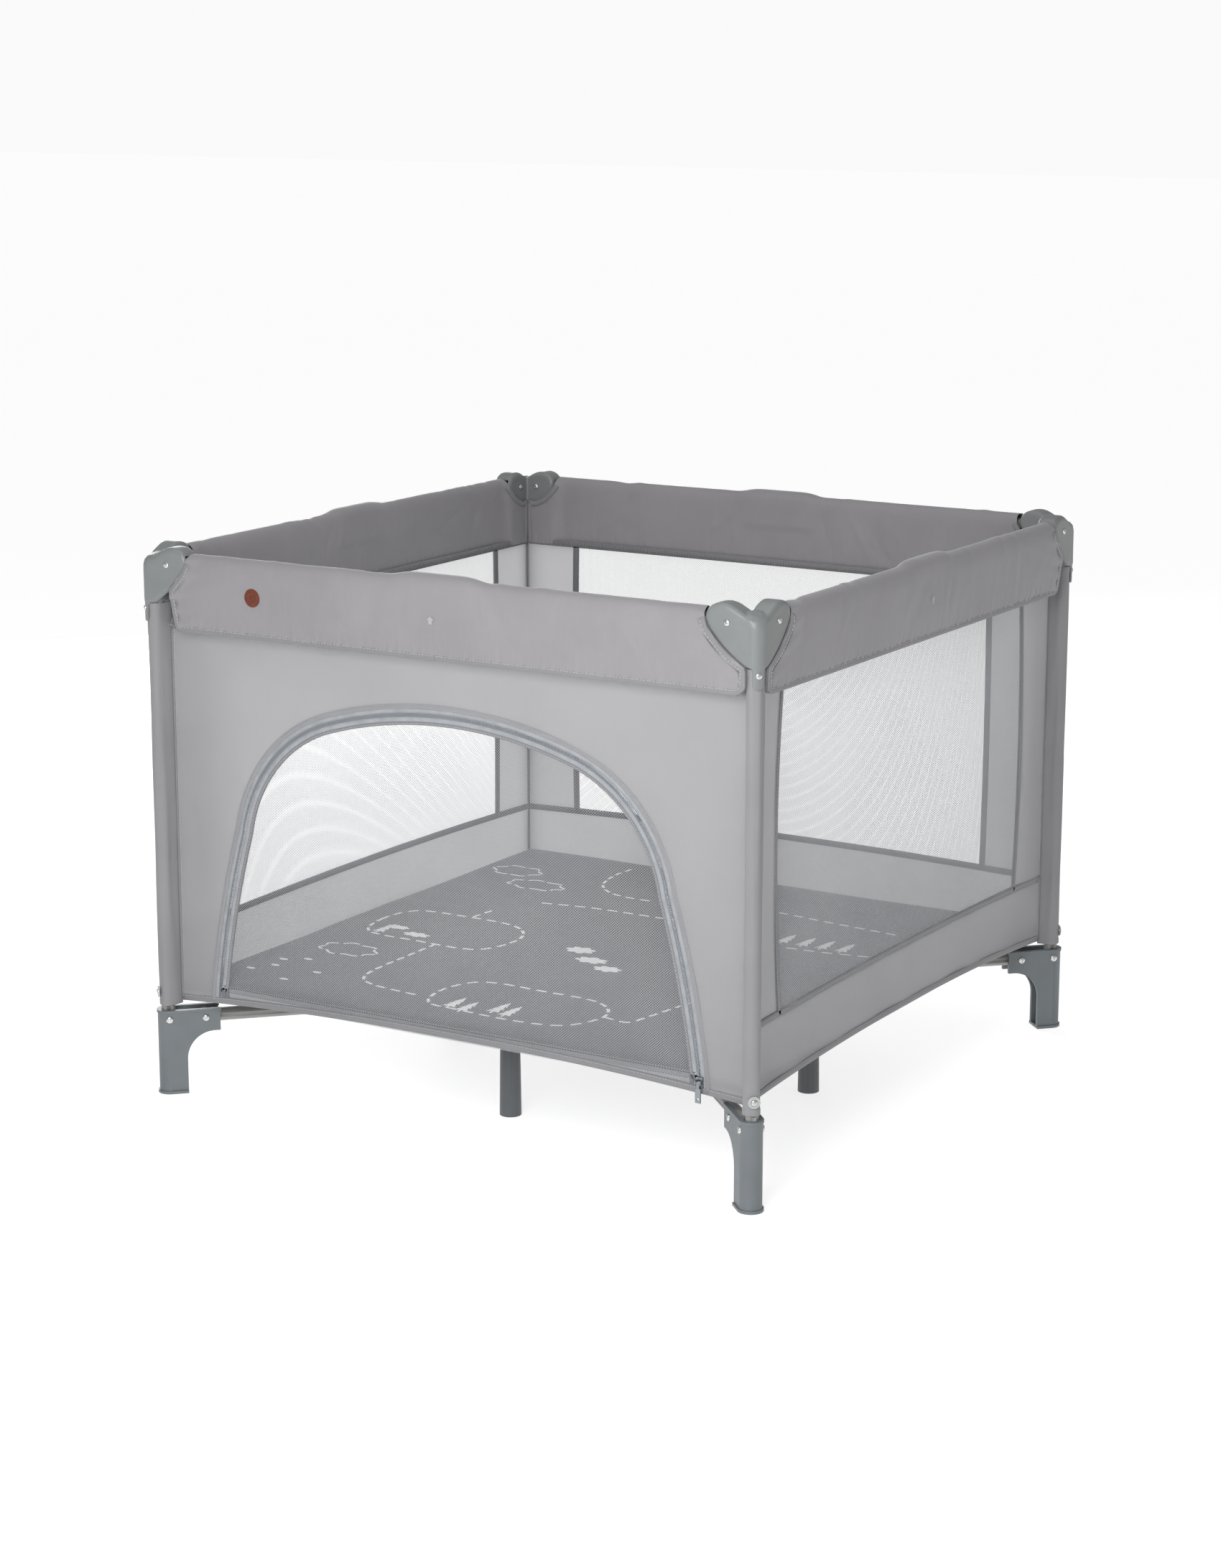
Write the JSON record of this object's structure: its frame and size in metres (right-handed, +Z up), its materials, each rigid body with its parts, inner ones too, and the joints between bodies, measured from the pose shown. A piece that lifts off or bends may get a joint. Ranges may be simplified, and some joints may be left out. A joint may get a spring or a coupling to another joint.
{
  "type": "playpen",
  "caption": "Square folding playpen: corner posts on channel feet, hinged top rails with locks under fabric covers, netting walls, a zipped arched door, and a padded floor mat on a folding hub.",
  "frame": {"origin": "on the floor, at the centre of the square", "axes": "+Z up; the front, with the zipped door, faces -Y; +X is to the right seen from the front"},
  "size_m": [0.9542, 0.9542, 0.772],
  "materials": {
    "grey_tube": "satin powder coat",
    "casting_plastic": "satin moulded",
    "foot_plastic": "satin moulded",
    "lock_plastic": "satin moulded",
    "dark_plastic": "satin moulded",
    "screw_steel": "zinc plated",
    "wall_fabric": "woven polyester",
    "mesh_fabric": "knitted netting",
    "cover_fabric": "woven polyester",
    "mat_fabric": "printed polyester",
    "strap_web": "woven webbing",
    "zip_metal": "painted zinc"
  },
  "bodies": {
    "front_left_corner": {"front_left_casting": "casting_plastic", "front_left_post": "grey_tube", "front_left_foot": "foot_plastic", "front_left_fasteners": "screw_steel", "front_wall": "wall_fabric"},
    "front_right_corner": {"front_right_casting": "casting_plastic", "front_right_post": "grey_tube", "front_right_foot": "foot_plastic", "front_right_fasteners": "screw_steel", "right_wall": "mesh_fabric"},
    "back_right_corner": {"back_right_casting": "casting_plastic", "back_right_post": "grey_tube", "back_right_foot": "foot_plastic", "back_right_fasteners": "screw_steel", "back_wall": "mesh_fabric"},
    "back_left_corner": {"back_left_casting": "casting_plastic", "back_left_post": "grey_tube", "back_left_foot": "foot_plastic", "back_left_fasteners": "screw_steel", "left_wall": "mesh_fabric"},
    "back_right_arm": {"back_right_arm": "grey_tube"},
    "back_left_arm": {"back_left_arm": "grey_tube"},
    "front_left_arm": {"front_left_arm": "grey_tube"},
    "front_right_arm": {"front_right_arm": "grey_tube"},
    "hub": {"hub": "dark_plastic", "hub_pins": "screw_steel", "pull_strap": "strap_web", "floor_sheet": "wall_fabric", "floor_mat": "mat_fabric"},
    "back_support_arm": {"back_support_arm": "grey_tube"},
    "back_support_leg": {"back_support_leg": "dark_plastic"},
    "left_support_arm": {"left_support_arm": "grey_tube"},
    "left_support_leg": {"left_support_leg": "dark_plastic"},
    "front_support_arm": {"front_support_arm": "grey_tube"},
    "front_support_leg": {"front_support_leg": "dark_plastic"},
    "right_support_arm": {"right_support_arm": "grey_tube"},
    "right_support_leg": {"right_support_leg": "dark_plastic"},
    "back_rail_right": {"back_rail_right": "grey_tube"},
    "back_rail_left": {"back_rail_left": "grey_tube"},
    "back_lock": {"back_lock": "lock_plastic", "back_rail_cover": "cover_fabric"},
    "back_lock_button": {"back_lock_button": "dark_plastic"},
    "left_rail_back": {"left_rail_back": "grey_tube"},
    "left_rail_front": {"left_rail_front": "grey_tube"},
    "left_lock": {"left_lock": "lock_plastic", "left_rail_cover": "cover_fabric"},
    "left_lock_button": {"left_lock_button": "dark_plastic"},
    "front_rail_left": {"front_rail_left": "grey_tube"},
    "front_rail_right": {"front_rail_right": "grey_tube"},
    "front_lock": {"front_lock": "lock_plastic", "front_rail_cover": "cover_fabric"},
    "front_lock_button": {"front_lock_button": "dark_plastic"},
    "right_rail_front": {"right_rail_front": "grey_tube"},
    "right_rail_back": {"right_rail_back": "grey_tube"},
    "right_lock": {"right_lock": "lock_plastic", "right_rail_cover": "cover_fabric"},
    "right_lock_button": {"right_lock_button": "dark_plastic"},
    "door_flap": {"door_flap": "mesh_fabric"},
    "zip_slider": {"zip_slider": "zip_metal"},
    "zip_pull": {"zip_pull": "zip_metal"}
  },
  "joints": [
    {"name": "fold", "type": "hinge", "parent": "front_left_corner", "child": "front_left_arm", "pos_m": [-0.42464, -0.42464, 0.107], "axis": [0.7071, -0.7071, 0], "range_deg": [0, 80], "deforming": ["front_wall", "right_wall", "back_wall", "left_wall", "front_rail_cover", "right_rail_cover", "back_rail_cover", "left_rail_cover", "floor_sheet", "floor_mat", "door_flap"]},
    {"name": "hub_level", "type": "hinge", "parent": "front_left_arm", "child": "hub", "pos_m": [-0.03465, -0.03465, 0.107], "axis": [-0.7071, 0.7071, 0], "range_deg": [0, 80]},
    {"name": "front_right_arm_fold", "type": "hinge", "parent": "hub", "child": "front_right_arm", "pos_m": [0.03465, -0.03465, 0.107], "axis": [0.7071, 0.7071, 0], "range_deg": [0, 80]},
    {"name": "front_right_corner_level", "type": "hinge", "parent": "front_right_arm", "child": "front_right_corner", "pos_m": [0.42464, -0.42464, 0.107], "axis": [-0.7071, -0.7071, 0], "range_deg": [0, 80]},
    {"name": "back_right_arm_fold", "type": "hinge", "parent": "hub", "child": "back_right_arm", "pos_m": [0.03465, 0.03465, 0.107], "axis": [-0.7071, 0.7071, 0], "range_deg": [0, 80]},
    {"name": "back_right_corner_level", "type": "hinge", "parent": "back_right_arm", "child": "back_right_corner", "pos_m": [0.42464, 0.42464, 0.107], "axis": [0.7071, -0.7071, 0], "range_deg": [0, 80]},
    {"name": "back_left_arm_fold", "type": "hinge", "parent": "hub", "child": "back_left_arm", "pos_m": [-0.03465, 0.03465, 0.107], "axis": [-0.7071, -0.7071, 0], "range_deg": [0, 80]},
    {"name": "back_left_corner_level", "type": "hinge", "parent": "back_left_arm", "child": "back_left_corner", "pos_m": [-0.42464, 0.42464, 0.107], "axis": [0.7071, 0.7071, 0], "range_deg": [0, 80]},
    {"name": "back_rail_right_fold", "type": "hinge", "parent": "back_right_corner", "child": "back_rail_right", "pos_m": [0.428, 0.46, 0.745], "axis": [0, -1, 0], "range_deg": [0, 80]},
    {"name": "back_rail_left_fold", "type": "hinge", "parent": "back_left_corner", "child": "back_rail_left", "pos_m": [-0.428, 0.46, 0.745], "axis": [0, 1, 0], "range_deg": [0, 80]},
    {"name": "left_rail_back_fold", "type": "hinge", "parent": "back_left_corner", "child": "left_rail_back", "pos_m": [-0.46, 0.428, 0.745], "axis": [1, 0, 0], "range_deg": [0, 80]},
    {"name": "left_rail_front_fold", "type": "hinge", "parent": "front_left_corner", "child": "left_rail_front", "pos_m": [-0.46, -0.428, 0.745], "axis": [-1, 0, 0], "range_deg": [0, 80]},
    {"name": "front_rail_left_fold", "type": "hinge", "parent": "front_left_corner", "child": "front_rail_left", "pos_m": [-0.428, -0.46, 0.745], "axis": [0, 1, 0], "range_deg": [0, 80]},
    {"name": "front_rail_right_fold", "type": "hinge", "parent": "front_right_corner", "child": "front_rail_right", "pos_m": [0.428, -0.46, 0.745], "axis": [0, -1, 0], "range_deg": [0, 80]},
    {"name": "right_rail_front_fold", "type": "hinge", "parent": "front_right_corner", "child": "right_rail_front", "pos_m": [0.46, -0.428, 0.745], "axis": [-1, 0, 0], "range_deg": [0, 80]},
    {"name": "right_rail_back_fold", "type": "hinge", "parent": "back_right_corner", "child": "right_rail_back", "pos_m": [0.46, 0.428, 0.745], "axis": [1, 0, 0], "range_deg": [0, 80]},
    {"name": "back_lock_level", "type": "hinge", "parent": "back_rail_right", "child": "back_lock", "pos_m": [0.038, 0.46, 0.745], "axis": [0, 1, 0], "range_deg": [0, 80]},
    {"name": "back_lock_press", "type": "slide", "parent": "back_lock", "child": "back_lock_button", "axis": [0, 0, 1], "range_m": [0, 0.004], "stiffness_N_per_m": 300},
    {"name": "back_support_fold", "type": "hinge", "parent": "hub", "child": "back_support_arm", "pos_m": [0, 0.049, 0.107], "axis": [-1, 0, 0], "range_deg": [0, 90]},
    {"name": "back_support_leg_level", "type": "hinge", "parent": "back_support_arm", "child": "back_support_leg", "pos_m": [0, 0.3, 0.107], "axis": [1, 0, 0], "range_deg": [0, 90]},
    {"name": "left_lock_level", "type": "hinge", "parent": "left_rail_back", "child": "left_lock", "pos_m": [-0.46, 0.038, 0.745], "axis": [-1, 0, 0], "range_deg": [0, 80]},
    {"name": "left_lock_press", "type": "slide", "parent": "left_lock", "child": "left_lock_button", "axis": [0, 0, 1], "range_m": [0, 0.004], "stiffness_N_per_m": 300},
    {"name": "left_support_fold", "type": "hinge", "parent": "hub", "child": "left_support_arm", "pos_m": [-0.049, 0, 0.107], "axis": [0, -1, 0], "range_deg": [0, 90]},
    {"name": "left_support_leg_level", "type": "hinge", "parent": "left_support_arm", "child": "left_support_leg", "pos_m": [-0.3, 0, 0.107], "axis": [0, 1, 0], "range_deg": [0, 90]},
    {"name": "front_lock_level", "type": "hinge", "parent": "front_rail_left", "child": "front_lock", "pos_m": [-0.038, -0.46, 0.745], "axis": [0, -1, 0], "range_deg": [0, 80]},
    {"name": "front_lock_press", "type": "slide", "parent": "front_lock", "child": "front_lock_button", "axis": [0, 0, 1], "range_m": [0, 0.004], "stiffness_N_per_m": 300},
    {"name": "front_support_fold", "type": "hinge", "parent": "hub", "child": "front_support_arm", "pos_m": [0, -0.049, 0.107], "axis": [1, 0, 0], "range_deg": [0, 90]},
    {"name": "front_support_leg_level", "type": "hinge", "parent": "front_support_arm", "child": "front_support_leg", "pos_m": [0, -0.3, 0.107], "axis": [-1, 0, 0], "range_deg": [0, 90]},
    {"name": "right_lock_level", "type": "hinge", "parent": "right_rail_front", "child": "right_lock", "pos_m": [0.46, -0.038, 0.745], "axis": [1, 0, 0], "range_deg": [0, 80]},
    {"name": "right_lock_press", "type": "slide", "parent": "right_lock", "child": "right_lock_button", "axis": [0, 0, 1], "range_m": [0, 0.004], "stiffness_N_per_m": 300},
    {"name": "right_support_fold", "type": "hinge", "parent": "hub", "child": "right_support_arm", "pos_m": [0.049, 0, 0.107], "axis": [0, 1, 0], "range_deg": [0, 90]},
    {"name": "right_support_leg_level", "type": "hinge", "parent": "right_support_arm", "child": "right_support_leg", "pos_m": [0.3, 0, 0.107], "axis": [0, -1, 0], "range_deg": [0, 90]},
    {"name": "door_open", "type": "hinge", "parent": "front_left_corner", "child": "door_flap", "pos_m": [0, -0.4479, 0.16], "axis": [1, 0, 0], "range_deg": [0, 105]},
    {"name": "zip_slide", "type": "slide", "parent": "front_right_corner", "child": "zip_slider", "axis": [-0.174, 0, 0.9848], "range_m": [0, 0.12]},
    {"name": "zip_pull_swing", "type": "hinge", "parent": "zip_slider", "child": "zip_pull", "pos_m": [0.38, -0.45335, 0.1518], "axis": [-1, 0, 0], "range_deg": [0, 150]}
  ],
  "couplings": [
    {"joint": "hub_level", "follows": "fold", "ratio": 1},
    {"joint": "front_right_arm_fold", "follows": "fold", "ratio": 1},
    {"joint": "front_right_corner_level", "follows": "fold", "ratio": 1},
    {"joint": "back_right_arm_fold", "follows": "fold", "ratio": 1},
    {"joint": "back_right_corner_level", "follows": "fold", "ratio": 1},
    {"joint": "back_left_arm_fold", "follows": "fold", "ratio": 1},
    {"joint": "back_left_corner_level", "follows": "fold", "ratio": 1},
    {"joint": "back_rail_right_fold", "follows": "fold", "ratio": 1},
    {"joint": "back_rail_left_fold", "follows": "fold", "ratio": 1},
    {"joint": "left_rail_back_fold", "follows": "fold", "ratio": 1},
    {"joint": "left_rail_front_fold", "follows": "fold", "ratio": 1},
    {"joint": "front_rail_left_fold", "follows": "fold", "ratio": 1},
    {"joint": "front_rail_right_fold", "follows": "fold", "ratio": 1},
    {"joint": "right_rail_front_fold", "follows": "fold", "ratio": 1},
    {"joint": "right_rail_back_fold", "follows": "fold", "ratio": 1},
    {"joint": "back_lock_level", "follows": "fold", "ratio": 1},
    {"joint": "back_support_fold", "follows": "fold", "ratio": 1.125},
    {"joint": "back_support_leg_level", "follows": "fold", "ratio": 1.125},
    {"joint": "left_lock_level", "follows": "fold", "ratio": 1},
    {"joint": "left_support_fold", "follows": "fold", "ratio": 1.125},
    {"joint": "left_support_leg_level", "follows": "fold", "ratio": 1.125},
    {"joint": "front_lock_level", "follows": "fold", "ratio": 1},
    {"joint": "front_support_fold", "follows": "fold", "ratio": 1.125},
    {"joint": "front_support_leg_level", "follows": "fold", "ratio": 1.125},
    {"joint": "right_lock_level", "follows": "fold", "ratio": 1},
    {"joint": "right_support_fold", "follows": "fold", "ratio": 1.125},
    {"joint": "right_support_leg_level", "follows": "fold", "ratio": 1.125}
  ]
}
